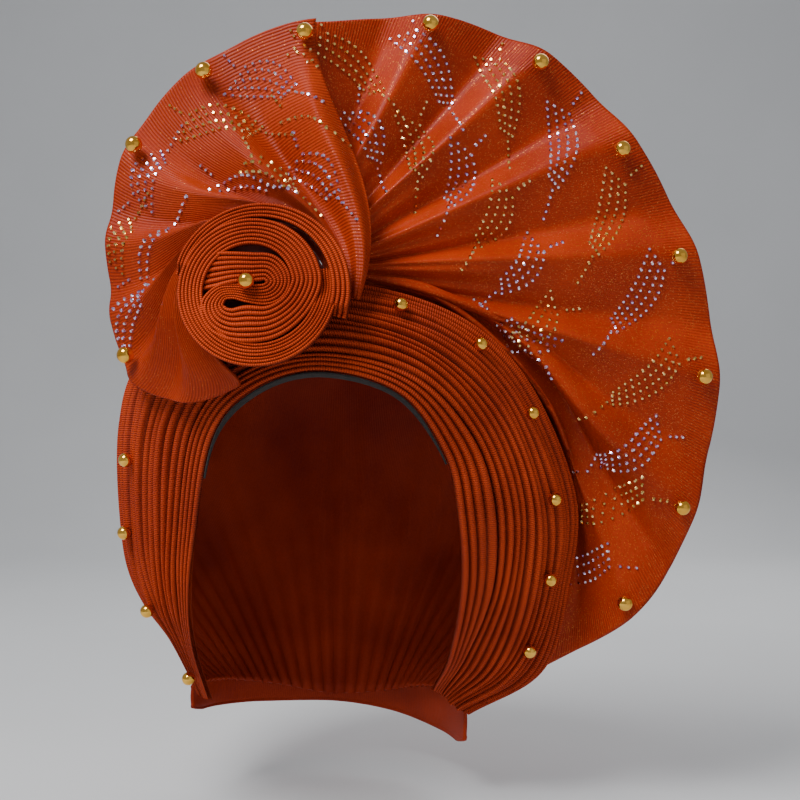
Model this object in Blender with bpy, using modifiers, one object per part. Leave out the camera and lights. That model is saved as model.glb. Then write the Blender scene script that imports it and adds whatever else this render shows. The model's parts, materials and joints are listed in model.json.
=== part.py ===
"""Tied gele head tie: a brow roll, a pleated band, two pleated fans, a coiled rosette and gold beads.

The wearer faces -Y, +X is to the right of someone looking at the wearer, and +Z is up.
The origin is the point inside the crown that rests on the top of the head.
"""
import math

import bmesh
import bpy
import numpy as np

MM = 0.001
NAME = "gele_head_tie"

# Cloth walls, in millimetres.
BAND_WALL = 2.0
BROW_WALL = 3.0
CROWN_WALL = 1.6
FAN_WALL = 1.4
STRAP_WALL = 2.0
LINING_WALL = 0.8
COIL_DEPTH = 9.0

# Stations along the band, from the left tip over the brow to the right end:
# the face edge, the seam between the brow roll and the pleats, and the outer edge.
STATIONS = [
    ((-73, 22, -238), (-76, 24, -238), (-82, 27, -234)),
    ((-76, -10, -202), (-80, -8, -200), (-92, 8, -200)),
    ((-74, -32, -171), (-80, -28, -172), (-106, 3, -176)),
    ((-68, -48, -137), (-77, -42, -138), (-115, -3, -143)),
    ((-55, -70, -84), (-65, -64, -80), (-115, -14, -79)),
    ((-33, -82, -60), (-40, -81, -53), (-96, -28, -40)),
    ((0, -89, -51), (0, -89, -43), (-33, -58, -7)),
    ((38, -82, -62), (45, -84, -54), (45, -57, -13)),
    ((60, -66, -92), (74, -64, -84), (98, -37, -45)),
    ((67, -55, -121), (86, -50, -119), (133, -10, -114)),
    ((70, -40, -160), (87, -32, -163), (132, 0, -168)),
    ((65, -15, -204), (74, -8, -205), (120, 6, -216)),
    ((57, 8, -229), (61, 12, -232), (78, 18, -246)),
]
BROW_ROLLS = 3
BROW_RISE = 1.6
BAND_PLEATS = 7
BAND_PLEAT_RISE = 1.3
BAND_SWELL = 0.10
SEAM_GAP = 0.05

# Crown: it leaves the band just inside its outer edge, is pulled out towards the shoulder
# points, and ends in the nape edge. Both lists run from the left ear round to the right ear.
CROWN_INSET = 0.78
CROWN_SET_BACK = 4.0
CROWN_SHOULDER = [(-90, 40, -230), (-112, 72, -180), (-115, 122, -62), (-15, 158, 61), (108, 128, -32),
                  (122, 76, -172), (78, 29, -236)]
CROWN_NAPE = [(-80, 36, -232), (-67, 56, -232), (-42, 76, -232), (-5, 86, -232), (34, 77, -234),
              (56, 55, -235), (68, 33, -236)]

# Main fan: rays from the gather to the rim, each five points; the first six are straight.
FAN_GATHER = ((-16, -56, 12), (12, -54, 0))
FAN_RIM = [(-9, -49, 128), (54, -44, 134), (112, -42, 116), (157, -42, 74), (191, -40, 15),
           (205, -36, -52)]
FAN_DRAPED = [
    ((14, -53, -1), (56, -48, -8), (104, -36, -34), (149, -31, -82), (196, -28, -121)),
    ((16, -52, -3), (62, -43, -14), (115, -21, -60), (142, -5, -116), (169, -13, -180)),
]
FAN_HEM = (0.53, 0.93)
FAN_HEM_OVERLAP = 0.97
FAN_HEM_SET_BACK = 9.0
FAN_HOLLOW = 6.0
FAN_PLEATS = 8
FAN_PLEAT_SHARE = 0.24
FAN_PLEAT_MAX = 8.0
FAN_PLEAT_LEAN = 0.34
FAN_PLEAT_AT_RIM = 0.75

# Left fan: a swirl about the rosette's centre; angles in degrees, then radius and depth.
SWIRL_CENTRE = (-29, -13)
SWIRL_RIM = [(258, 46, -90), (232, 67, -76), (210, 81, -56), (183, 81, -52), (157, 90, -50),
             (132, 107, -51), (106, 124, -54), (80, 143, -58)]
SWIRL_START_ANGLE = 4.0
SWIRL_START_RADIUS = (34, 47)
SWIRL_START_DEPTH = -86.0
ROSETTE_LEAN = 0.24
SWIRL_PLEATS = 7
SWIRL_PLEAT_SHARE = 0.24
SWIRL_PLEAT_MAX = 5.0
SWIRL_PLEAT_AT_RIM = 0.5

# Rosette: the strip's middle line (x, z) and its width, from the inner end to the outer end.
COIL_LINE = [
    (-50, -2.5, 15), (-38, -2.5, 15), (-26, -2.5, 14), (-17.5, -8.5, 11), (-23, -15.6, 8),
    (-36, -14.8, 7.5), (-46, -16.5, 7), (-51.5, -23, 7), (-46, -30.5, 8.5), (-31, -33, 9.5),
    (-15, -28, 12), (-5.5, -17, 14), (-4, -5, 15.5), (-9.5, 6, 14), (-23, 12.5, 11.5), (-41, 12.5, 11),
    (-53.5, 3, 12), (-60.5, -9, 13), (-61.5, -22, 12.5), (-55, -35, 12), (-43, -43.5, 11.5),
    (-29, -46, 11.5), (-13, -43, 11), (2, -34, 10), (9.5, -22, 8),
]
COIL_FRONT = -101.0
COIL_DOME = 3.0

# The bunch of cloth that joins the two fans and the rosette.
KNOT_START = (8, -84, -8)
KNOT_END = (5, -66, 4)
KNOT_HALF = (7.0, 8.5)

# Nape strap: its middle line, and its height at the two ends and behind the neck.
STRAP_LINE = [(78, 31, -254), (62, 61, -251), (35, 83, -247), (-6, 92, -243), (-46, 82, -242),
              (-73, 60, -241), (-87, 38, -241)]
STRAP_HEIGHTS = (29, 28, 12)

# Lining edge: the stations that it runs between, and how far it hangs below the face edge.
LINING_FROM = 0.30
LINING_TO = 0.68
LINING_WIDTH = 3.5
LINING_GAP = 0.5

# Beads: radii, the gap to the cloth, and places along and across the pieces they are sewn to.
RIM_BEAD = 4.3
BAND_BEAD = 3.7
ROSETTE_BEAD = 3.9
BEAD_GAP = 0.9
MAIN_RIM_BEADS = (
    (0.13, 0.95), (0.26, 0.95), (0.39, 0.94), (0.51, 0.94), (0.63, 0.95), (0.76, 0.96), (0.88, 0.97),
)
LEFT_RIM_BEADS = ((0.32, 0.93), (0.72, 0.96), (0.86, 0.95), (0.99, 0.93))
LEFT_BAND_BEADS = ((0.04, 0.05), (0.16, 0.52), (0.26, 0.70), (0.31, 0.60))
RIGHT_BAND_BEADS = ((0.57, 0.65), (0.63, 0.70), (0.69, 0.65), (0.75, 0.56), (0.82, 0.54), (0.89, 0.56))
ROSETTE_BEAD_PLACE = (-33, -10)

ORANGE = (0.55, 0.062, 0.014)
SATIN = (0.46, 0.045, 0.010)
LINING = (0.06, 0.05, 0.045)
GOLD = (0.95, 0.66, 0.20)


def mix(a, b, t):
    """Straight blend from a to b."""
    return a + (b - a) * t


def smoothstep(t):
    """Ease from 0 to 1 with flat ends."""
    t = np.clip(t, 0.0, 1.0)
    return t * t * (3.0 - 2.0 * t)


def spline(points, t):
    """Catmull-Rom curve through evenly spaced points, at the array t from 0 to 1."""
    points = np.asarray(points, dtype=float)
    spans = len(points) - 1
    first = 2 * points[0] - points[1]
    last = 2 * points[-1] - points[-2]
    padded = np.vstack([first, points, last])
    place = np.clip(np.asarray(t, dtype=float), 0.0, 1.0) * spans
    span = np.minimum(place.astype(int), spans - 1)
    f = (place - span)[:, None]
    a, b, c, d = (padded[span + k] for k in range(4))
    return b + 0.5 * f * (c - a + f * (2 * a - 5 * b + 4 * c - d + f * (3 * (b - c) + d - a)))


def unit(vectors):
    """Vectors scaled to length one."""
    return vectors / np.maximum(np.linalg.norm(vectors, axis=-1, keepdims=True), 1e-9)


def normals(surface, u, v):
    """Unit normals of a surface, from small steps along its two parameters."""
    h = 1e-3
    along = surface(np.minimum(u + h, 1), v) - surface(np.maximum(u - h, 0), v)
    across = surface(u, np.minimum(v + h, 1)) - surface(u, np.maximum(v - h, 0))
    return unit(np.cross(along, across))


def zigzag(phase, lean=0.5):
    """A fold from -1 up to 1 and back, once for each whole phase; lean is where its top is."""
    t = phase % 1.0
    return np.where(t < lean, 2 * t / lean - 1, 1 - 2 * (t - lean) / (1 - lean))


def station_lines(u):
    """The face edge, seam and outer edge of the band at u."""
    lines = np.asarray(STATIONS, dtype=float)
    return [spline(lines[:, k], u) for k in range(3)]


def taper_ends(u, share):
    """0 at both ends of a run and 1 past a share of it."""
    return smoothstep(np.minimum(u, 1 - u) / share)


def brow_surface(u, v):
    """Rolls side by side between the face edge and the seam."""
    face, seam, outer = station_lines(u)
    base = mix(face, mix(seam, outer, SEAM_GAP * 0.4), v[:, None])
    along = unit(station_lines(np.minimum(u + 1e-3, 1))[0] - station_lines(np.maximum(u - 1e-3, 0))[0])
    out = unit(np.cross(along, unit(outer - face)))
    rolls = np.abs(np.sin(math.pi * BROW_ROLLS * v)) * BROW_RISE * taper_ends(u, 0.12)
    return base + out * rolls[:, None]


def band_base(u, v):
    """The band without its pleats: from the seam to the outer edge, slightly swollen."""
    face, seam, outer = station_lines(u)
    start = mix(seam, outer, SEAM_GAP)
    along = unit(station_lines(np.minimum(u + 1e-3, 1))[1] - station_lines(np.maximum(u - 1e-3, 0))[1])
    width = np.linalg.norm(outer - start, axis=-1)
    out = unit(np.cross(along, outer - start))
    swell = np.sin(math.pi * v) * BAND_SWELL * width
    return mix(start, outer, v[:, None]) + out * swell[:, None]


def band_surface(u, v):
    """The band with narrow pleats running along it."""
    fold = zigzag(BAND_PLEATS * v) * 0.5 * BAND_PLEAT_RISE * taper_ends(u, 0.18)
    return band_base(u, v) + normals(band_base, u, v) * fold[:, None]


def crown_surface(u, v):
    """The crown: arcs from just inside the band, over the head, down to the nape edge."""
    face, seam, outer = station_lines(u)
    rim = mix(seam, outer, CROWN_INSET) + np.array([0, CROWN_SET_BACK, 0])
    shoulder = spline(CROWN_SHOULDER, u)
    nape = spline(CROWN_NAPE, u)
    t = v[:, None]
    return (1 - t) ** 2 * rim + 2 * t * (1 - t) * shoulder + t ** 2 * nape


def fan_rays():
    """Rays of the main fan, five points each: straight, then draped, then along the band."""
    start, end = (np.asarray(p, dtype=float) for p in FAN_GATHER)
    steps = np.linspace(0, 1, 5)
    hollow = np.outer(np.sin(math.pi * steps), [0, FAN_HOLLOW, 0])
    rays = []
    for index, rim in enumerate(FAN_RIM):
        gather = mix(start, end, index / (len(FAN_RIM) - 1))
        rays.append(mix(gather, np.asarray(rim, dtype=float), steps[:, None]) + hollow)
    face, seam, outer = station_lines(mix(FAN_HEM[0], FAN_HEM[1], steps))
    hem = mix(seam, outer, FAN_HEM_OVERLAP) + np.array([0, FAN_HEM_SET_BACK, 0])
    return np.asarray(rays + [np.asarray(ray, dtype=float) for ray in FAN_DRAPED] + [hem])


def fan_base(u, v):
    """The main fan without its pleats: splines across the rays, then along them."""
    rays = fan_rays()
    rows = np.stack([spline(rays[:, k], u) for k in range(5)], axis=1)
    place = np.clip(v, 0, 1) * 4
    span = np.minimum(place.astype(int), 3)
    f = (place - span)[:, None]
    padded = np.concatenate([2 * rows[:, :1] - rows[:, 1:2], rows, 2 * rows[:, -1:] - rows[:, -2:-1]], axis=1)
    index = np.arange(len(u))
    a, b, c, d = (padded[index, span + k] for k in range(4))
    return b + 0.5 * f * (c - a + f * (2 * a - 5 * b + 4 * c - d + f * (3 * (b - c) + d - a)))


def pleated(base, u, v, pleats, share, limit, at_rim, lean):
    """A fan with folds along its rays, as deep as the room between folds allows; a fold tops out at u = 0."""
    step = 0.5 / pleats
    width = np.linalg.norm(base(np.minimum(u + step, 1), v) - base(np.maximum(u - step, 0), v), axis=-1)
    depth = np.minimum(width * share, limit) * mix(1.0, at_rim, v)
    fold = zigzag(pleats * u + lean, lean) * depth
    return base(u, v) + normals(base, u, v) * fold[:, None]


def fan_surface(u, v):
    """The main fan with its folds."""
    depth = (FAN_PLEAT_SHARE, FAN_PLEAT_MAX, FAN_PLEAT_AT_RIM)
    return pleated(fan_base, u, v, FAN_PLEATS, *depth, FAN_PLEAT_LEAN)


def leaning(depth, z):
    """A depth on the rosette's plane, which leans back towards its top."""
    return depth + ROSETTE_LEAN * (z - SWIRL_CENTRE[1])


def swirl_base(u, v):
    """The left fan: rays that leave the rosette's right side, wind round it and open out."""
    angle_end, radius_end, depth_end = spline(SWIRL_RIM, u).T
    turn = 1 - (1 - v) ** 2
    reach = v ** mix(3.0, 1.4, smoothstep((u - 0.7) / 0.3))
    angle = np.radians(mix(SWIRL_START_ANGLE, angle_end, turn))
    start_radius = mix(SWIRL_START_RADIUS[0], SWIRL_START_RADIUS[1], u ** 3)
    radius = mix(start_radius, radius_end, reach)
    x = SWIRL_CENTRE[0] + radius * np.cos(angle)
    z = SWIRL_CENTRE[1] + radius * np.sin(angle)
    depth = mix(leaning(SWIRL_START_DEPTH, z), depth_end, v ** 2)
    return np.stack([x, depth, z], axis=1)


def swirl_surface(u, v):
    """The left fan with its folds."""
    start = 0.16
    depth = (SWIRL_PLEAT_SHARE, SWIRL_PLEAT_MAX, SWIRL_PLEAT_AT_RIM)
    return pleated(swirl_base, u, mix(start, 1.0, v), SWIRL_PLEATS, *depth, 0.5)


def coil_surface(u, v):
    """The rosette's strip: its middle line with a width, slightly domed to the middle."""
    line = spline(COIL_LINE, u)
    after = spline(COIL_LINE, np.minimum(u + 2e-3, 1))[:, :2]
    before = spline(COIL_LINE, np.maximum(u - 2e-3, 0))[:, :2]
    ahead = unit(after - before)
    side = np.stack([-ahead[:, 1], ahead[:, 0]], axis=1)
    flat = line[:, :2] + side * (line[:, 2] * (v - 0.5))[:, None]
    away = np.linalg.norm(flat - np.asarray(SWIRL_CENTRE), axis=-1) / 42
    crown = COIL_DOME * (1 - away ** 2) + 0.8 * np.sin(math.pi * v)
    return np.stack([flat[:, 0], leaning(COIL_FRONT, flat[:, 1]) - crown, flat[:, 1]], axis=1)


def strap_surface(u, v):
    """The nape strap: upright, its height eased between the ends and the middle."""
    middle = spline(STRAP_LINE, u)
    start, back, end = STRAP_HEIGHTS
    height = np.where(u < 0.5, mix(start, back, smoothstep(2 * u)), mix(back, end, smoothstep(2 * u - 1)))
    return middle + np.stack([np.zeros_like(u), np.zeros_like(u), (v - 0.5) * height], axis=1)


def lining_surface(u, v):
    """The lining's edge, hanging just inside the face edge over the forehead."""
    place = mix(LINING_FROM, LINING_TO, u)
    face, seam, outer = station_lines(place)
    inward = unit(face - seam)
    back = np.array([0, 1.0, 0])
    width = LINING_WIDTH * taper_ends(u, 0.25) + 0.8
    return face + inward * LINING_GAP + unit(inward * 0.5 + back) * (v * width)[:, None]


def material(name, colour, roughness, metallic=0.0):
    """A Principled material."""
    made = bpy.data.materials.new(name)
    made.use_nodes = True
    shader = made.node_tree.nodes["Principled BSDF"]
    shader.inputs["Base Color"].default_value = (*colour, 1.0)
    shader.inputs["Roughness"].default_value = roughness
    shader.inputs["Metallic"].default_value = metallic
    made.diffuse_color = (*colour, 1.0)
    return made


def add_object(name, bm, finish, collection, parent):
    """Make an object from a bmesh, smooth shaded, in the object's collection."""
    mesh = bpy.data.meshes.new(name)
    bm.to_mesh(mesh)
    bm.free()
    mesh.materials.append(finish)
    mesh.shade_smooth()
    made = bpy.data.objects.new(name, mesh)
    collection.objects.link(made)
    made.parent = parent
    return made


def sheet(name, surface, columns, rows, wall, finish, collection, parent):
    """A cloth wall: a grid laid on a surface, then given its thickness away from its face."""
    bm = bmesh.new()
    bmesh.ops.create_grid(bm, x_segments=columns, y_segments=rows, size=0.5)
    flat = np.array([vert.co for vert in bm.verts])
    places = surface(flat[:, 0] + 0.5, flat[:, 1] + 0.5) * MM
    for vert, place in zip(bm.verts, places):
        vert.co = place
    bmesh.ops.remove_doubles(bm, verts=bm.verts, dist=0.02 * MM)
    bmesh.ops.triangulate(bm, faces=bm.faces)
    made = add_object(name, bm, finish, collection, parent)
    thick = made.modifiers.new("wall", "SOLIDIFY")
    thick.thickness = wall * MM
    thick.offset = -1.0
    return made


def knot(finish, collection, parent):
    """The bunch between the fans and the rosette: a rounded bar from front to back."""
    bm = bmesh.new()
    bmesh.ops.create_cone(bm, cap_ends=True, segments=14, radius1=1.0, radius2=0.9, depth=1.0)
    start = np.asarray(KNOT_START, dtype=float)
    end = np.asarray(KNOT_END, dtype=float)
    for vert in bm.verts:
        x, y, z = vert.co
        middle = mix(start, end, z + 0.5)
        vert.co = (middle + np.array([x * KNOT_HALF[0], 0, -y * KNOT_HALF[1]])) * MM
    bmesh.ops.recalc_face_normals(bm, faces=bm.faces)
    add_object("gather_knot", bm, finish, collection, parent)


def bead_places():
    """Bead centres with their radii: each rests on its cloth, with a small gap."""
    rows = [
        (fan_surface, fan_base, MAIN_RIM_BEADS, RIM_BEAD),
        (swirl_surface, swirl_base, LEFT_RIM_BEADS, RIM_BEAD),
        (band_surface, band_base, LEFT_BAND_BEADS, BAND_BEAD),
        (band_surface, band_base, RIGHT_BAND_BEADS, BAND_BEAD),
    ]
    places = []
    for surface, base, spread, radius in rows:
        u, v = np.array(spread).T
        spots = surface(u, v) + normals(base, u, v) * (radius + BEAD_GAP)
        places += [(spot, radius) for spot in spots]
    x, z = ROSETTE_BEAD_PLACE
    front = leaning(COIL_FRONT, z) - COIL_DOME - BEAD_GAP
    places.append((np.array([x, front - ROSETTE_BEAD, z]), ROSETTE_BEAD))
    return places


def beads(finish, collection, parent):
    """Round metal beads, each its own piece."""
    for number, (spot, radius) in enumerate(bead_places(), start=1):
        bm = bmesh.new()
        bmesh.ops.create_icosphere(bm, subdivisions=2, radius=radius * MM)
        made = add_object(f"bead_{number:02d}", bm, finish, collection, parent)
        made.location = tuple(spot * MM)


def main():
    """Build the head tie."""
    for old in list(bpy.data.objects):
        bpy.data.objects.remove(old, do_unlink=True)
    collection = bpy.data.collections.new(NAME)
    bpy.context.scene.collection.children.link(collection)
    root = bpy.data.objects.new("gele_root", None)
    collection.objects.link(root)
    ribbed = material("ribbed_cloth", ORANGE, 0.55)
    satin = material("satin_cloth", SATIN, 0.40)
    lining = material("lining_cloth", LINING, 0.80)
    gold = material("gold_metal", GOLD, 0.15, 1.0)
    place = (collection, root)
    sheet("brow_band", brow_surface, 36, 9, BROW_WALL, ribbed, *place)
    sheet("lining_edge", lining_surface, 16, 1, LINING_WALL, lining, *place)
    sheet("pleated_band", band_surface, 34, 2 * BAND_PLEATS, BAND_WALL, ribbed, *place)
    sheet("crown_cap", crown_surface, 22, 8, CROWN_WALL, satin, *place)
    sheet("fan_main", fan_surface, 4 * FAN_PLEATS, 8, FAN_WALL, satin, *place)
    sheet("fan_left", swirl_surface, 4 * SWIRL_PLEATS, 9, FAN_WALL, satin, *place)
    sheet("rosette_coil", coil_surface, 72, 2, COIL_DEPTH, ribbed, *place)
    sheet("nape_strap", strap_surface, 16, 1, STRAP_WALL, satin, *place)
    knot(ribbed, *place)
    beads(gold, *place)


main()
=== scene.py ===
"""The looks of a tied gele head tie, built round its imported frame.

Shapes are worked out in millimetres and become metres as they are put into meshes. The wearer faces
-Y, +X is to the right of someone looking at the wearer, and +Z is up. Every shape is measured from
the head seat, the mount inside the crown.
"""
import json
import logging
import math
from dataclasses import dataclass
from enum import Enum
from typing import Any, Callable

import bpy
import numpy as np
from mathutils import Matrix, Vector


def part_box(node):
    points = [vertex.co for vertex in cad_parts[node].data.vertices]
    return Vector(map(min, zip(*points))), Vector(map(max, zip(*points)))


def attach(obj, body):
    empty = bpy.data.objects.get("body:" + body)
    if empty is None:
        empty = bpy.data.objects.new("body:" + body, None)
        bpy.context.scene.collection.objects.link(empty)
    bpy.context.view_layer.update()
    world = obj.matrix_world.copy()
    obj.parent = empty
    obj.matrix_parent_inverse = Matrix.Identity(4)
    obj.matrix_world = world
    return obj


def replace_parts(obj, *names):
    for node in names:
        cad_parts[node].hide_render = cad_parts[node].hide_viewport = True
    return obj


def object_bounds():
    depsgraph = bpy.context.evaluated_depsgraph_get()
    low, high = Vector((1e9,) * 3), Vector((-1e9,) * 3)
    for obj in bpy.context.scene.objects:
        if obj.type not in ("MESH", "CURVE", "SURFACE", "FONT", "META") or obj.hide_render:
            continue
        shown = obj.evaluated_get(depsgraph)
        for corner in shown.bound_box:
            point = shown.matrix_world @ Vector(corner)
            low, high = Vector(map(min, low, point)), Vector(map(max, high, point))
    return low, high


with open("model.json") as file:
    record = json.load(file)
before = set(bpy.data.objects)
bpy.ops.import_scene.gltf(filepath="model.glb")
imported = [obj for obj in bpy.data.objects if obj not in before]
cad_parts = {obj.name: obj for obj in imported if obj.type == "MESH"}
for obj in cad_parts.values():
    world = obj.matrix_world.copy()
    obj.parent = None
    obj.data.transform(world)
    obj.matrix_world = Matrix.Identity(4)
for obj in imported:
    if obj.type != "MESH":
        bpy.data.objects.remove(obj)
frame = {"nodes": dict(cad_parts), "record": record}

Array = np.ndarray
Colour = tuple[float, float, float]
Ends = tuple[tuple[float, float, float], ...]

MM = 0.001
LOG = logging.getLogger("head_tie")
CAD_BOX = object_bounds()
HEAD_SEAT = np.array(frame["record"]["mounts"][0]["pos_m"]) / MM


# ---------------------------------------------------------------------------------------------
# Array shapes
# ---------------------------------------------------------------------------------------------

def mix(a: Array | float, b: Array | float, t: Array | float) -> Array | float:
    """Straight blend from a to b as t goes from 0 to 1."""
    return a + (b - a) * t


def smoothstep(t: Array | float) -> Array | float:
    """Ease from 0 to 1 with flat ends: 3 t squared minus 2 t cubed."""
    t = np.clip(t, 0.0, 1.0)
    return t * t * (3.0 - 2.0 * t)


def unit(vectors: Array) -> Array:
    """Vectors scaled to length one."""
    return vectors / np.maximum(np.linalg.norm(vectors, axis=-1, keepdims=True), 1e-9)


def bump(t: Array, middle: float, width: float) -> Array:
    """A smooth hill: e to the minus square of the distance from the middle in widths."""
    return np.exp(-((t - middle) / width) ** 2)


def spline(points: Any, t: Array) -> Array:
    """A Catmull-Rom curve through evenly spaced points.

    Args:
        points: One list of points for every place, or an array with its own list for each place.
        t: Places along the curve, from 0 to 1, in an array of any shape.

    Returns:
        The curve's points, in an array of t's shape with one more axis.
    """
    points = np.asarray(points, dtype=float)
    t = np.asarray(t, dtype=float)
    if points.ndim == 2:
        points = np.broadcast_to(points, t.shape + points.shape)
    spans = points.shape[-2] - 1
    first = 2 * points[..., :1, :] - points[..., 1:2, :]
    last = 2 * points[..., -1:, :] - points[..., -2:-1, :]
    padded = np.concatenate([first, points, last], axis=-2)
    place = np.clip(t, 0.0, 1.0) * spans
    span = np.minimum(place.astype(int), spans - 1)
    f = (place - span)[..., None]
    chosen = (np.take_along_axis(padded, (span + k)[..., None, None], axis=-2) for k in range(4))
    a, b, c, d = (point[..., 0, :] for point in chosen)
    return b + 0.5 * f * (c - a + f * (2 * a - 5 * b + 4 * c - d + f * (3 * (b - c) + d - a)))


def cord_profile(phase: Array, sharpness: float = 0.5) -> Array:
    """Round cords side by side, one for each whole phase: the sine's size raised to a power."""
    return np.abs(np.sin(math.pi * phase)) ** sharpness


def zigzag(phase: Array, lean: float) -> Array:
    """A fold that climbs from -1 to 1 over the share lean of each phase, then falls back."""
    t = phase % 1.0
    return np.where(t < lean, 2 * t / lean - 1, 1 - 2 * (t - lean) / (1 - lean))


def soft_zigzag(phase: Array, lean: float, round_off: Array) -> Array:
    """A zigzag whose edges are rounded: its mean over a window that is round_off wide each way."""
    steps = np.linspace(-1, 1, 7)
    return np.mean([zigzag(phase + step * round_off, lean) for step in steps], axis=0)


def lengths_along(points: Array, axis: int) -> Array:
    """Distance along a grid's lines, from 0, by adding up the steps between its points.

    Args:
        points: A grid of places.
        axis: The axis that the lines follow.

    Returns:
        The distance of each point from its line's start.
    """
    steps = np.linalg.norm(np.diff(points, axis=axis), axis=-1)
    start = np.zeros_like(np.take(steps, [0], axis=axis))
    return np.concatenate([start, np.cumsum(steps, axis=axis)], axis=axis)


# ---------------------------------------------------------------------------------------------
# Meshes
# ---------------------------------------------------------------------------------------------

def fill_mesh(name: str, places: Array, faces: Array, uv: Array | None = None) -> bpy.types.Mesh:
    """Put vertices and equal-sided faces into a new mesh.

    Args:
        name: The mesh's name.
        places: Vertex places in millimetres, one row each.
        faces: Vertex numbers, one row for each face.
        uv: UV coordinates in metres for each face's corners, in the faces' order.

    Returns:
        The mesh, smooth shaded.
    """
    mesh = bpy.data.meshes.new(name)
    count, sides = faces.shape
    mesh.vertices.add(len(places))
    mesh.vertices.foreach_set("co", (places * MM).astype(np.float32).ravel())
    mesh.loops.add(count * sides)
    mesh.loops.foreach_set("vertex_index", faces.astype(np.int32).ravel())
    mesh.polygons.add(count)
    mesh.polygons.foreach_set("loop_start", np.arange(count, dtype=np.int32) * sides)
    if uv is not None:
        layer = mesh.uv_layers.new(name="cloth")
        layer.data.foreach_set("uv", uv.astype(np.float32).ravel())
    mesh.update(calc_edges=True)
    mesh.validate()
    mesh.shade_smooth()
    return mesh


def grid_faces(columns: int, rows: int, wrap: bool = False) -> Array:
    """Quads of a grid of columns by rows points, counted row by row within each column.

    Args:
        columns: How many columns of points.
        rows: How many points in each.
        wrap: Whether the last row joins the first.

    Returns:
        Vertex numbers, four for each face.
    """
    i = np.arange(columns - 1)[:, None]
    j = np.arange(rows if wrap else rows - 1)[None, :]
    k = (j + 1) % rows
    corners = [i * rows + j, (i + 1) * rows + j, (i + 1) * rows + k, i * rows + k]
    return np.stack([np.broadcast_to(c, (columns - 1, j.size)) for c in corners], axis=-1).reshape(-1, 4)


def corner_uv(along: Array, across: Array) -> Array:
    """Corner UVs from two grids of vertex values, in the order of grid_faces, in metres.

    Args:
        along: Lengths along the cloth, in millimetres.
        across: Lengths across it.

    Returns:
        Two values for each corner.
    """
    values = np.stack([along, across], axis=-1) * MM
    quads = [values[:-1, :-1], values[1:, :-1], values[1:, 1:], values[:-1, 1:]]
    return np.stack(quads, axis=2).reshape(-1, 2)


def tube_mesh(name: str, rings: Array, ends: tuple[Array, Array], uv: Array | None = None) -> bpy.types.Mesh:
    """Close rings of points into a solid, each end by triangles to one point.

    Args:
        name: The mesh's name.
        rings: Points in millimetres, rings by points by three, in an order that faces out.
        ends: The points that close the first and the last ring.
        uv: UVs in metres for each ring quad's four corners, if it has them.

    Returns:
        The mesh, in triangles.
    """
    columns, rows = rings.shape[:2]
    halves = [0, 1, 2, 0, 2, 3]
    body = grid_faces(columns, rows, wrap=True)[:, halves].reshape(-1, 3)
    j = np.arange(rows)
    k = (j + 1) % rows
    last = (columns - 1) * rows
    count = columns * rows
    start = np.stack([j, k, np.full_like(j, count)], axis=-1)
    end = np.stack([last + k, last + j, np.full_like(j, count + 1)], axis=-1)
    if uv is not None:
        uv = np.concatenate([uv.reshape(-1, 4, 2)[:, halves].reshape(-1, 2), np.zeros((6 * rows, 2))])
    places = np.concatenate([rings.reshape(-1, 3), np.array(ends, dtype=float)])
    return fill_mesh(name, places, np.concatenate([body, start, end]), uv)


def ball_mesh(name: str, centre: Array, radii: Array, columns: int = 30, rows: int = 17) -> bpy.types.Mesh:
    """An ellipsoid: rings whose size is the sine of the angle from the top, closed at both poles.

    Args:
        name: The mesh's name.
        centre: Its middle, in millimetres.
        radii: Its half sizes.
        columns: Points round each ring.
        rows: Rings between the poles.

    Returns:
        The mesh.
    """
    angle, turn = np.meshgrid(np.linspace(0, math.pi, rows + 2)[1:-1],
                              np.linspace(0, 2 * math.pi, columns, endpoint=False), indexing="ij")
    ring = np.stack([np.sin(angle) * np.cos(turn), np.sin(angle) * np.sin(turn), np.cos(angle)], axis=-1)
    pole = np.array([0, 0, radii[2]])
    return tube_mesh(name, centre + ring * radii, (centre + pole, centre - pole))


def add_piece(mesh: bpy.types.Mesh, finish: bpy.types.Material) -> bpy.types.Object:
    """Make the mesh a piece of the scene with its finish.

    Args:
        mesh: The piece's mesh.
        finish: Its material.

    Returns:
        The new object, at the origin.
    """
    mesh.materials.append(finish)
    piece = bpy.data.objects.new(mesh.name, mesh)
    bpy.context.scene.collection.objects.link(piece)
    return piece


def add_wall(piece: bpy.types.Object, wall: float) -> None:
    """Give a sheet its thickness, away from its face.

    Args:
        piece: The sheet.
        wall: Its thickness in millimetres.
    """
    solid = piece.modifiers.new("wall", "SOLIDIFY")
    solid.thickness = wall * MM
    solid.offset = -1.0
    solid.use_rim = True


# ---------------------------------------------------------------------------------------------
# Shader graphs and finishes
# ---------------------------------------------------------------------------------------------

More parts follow.
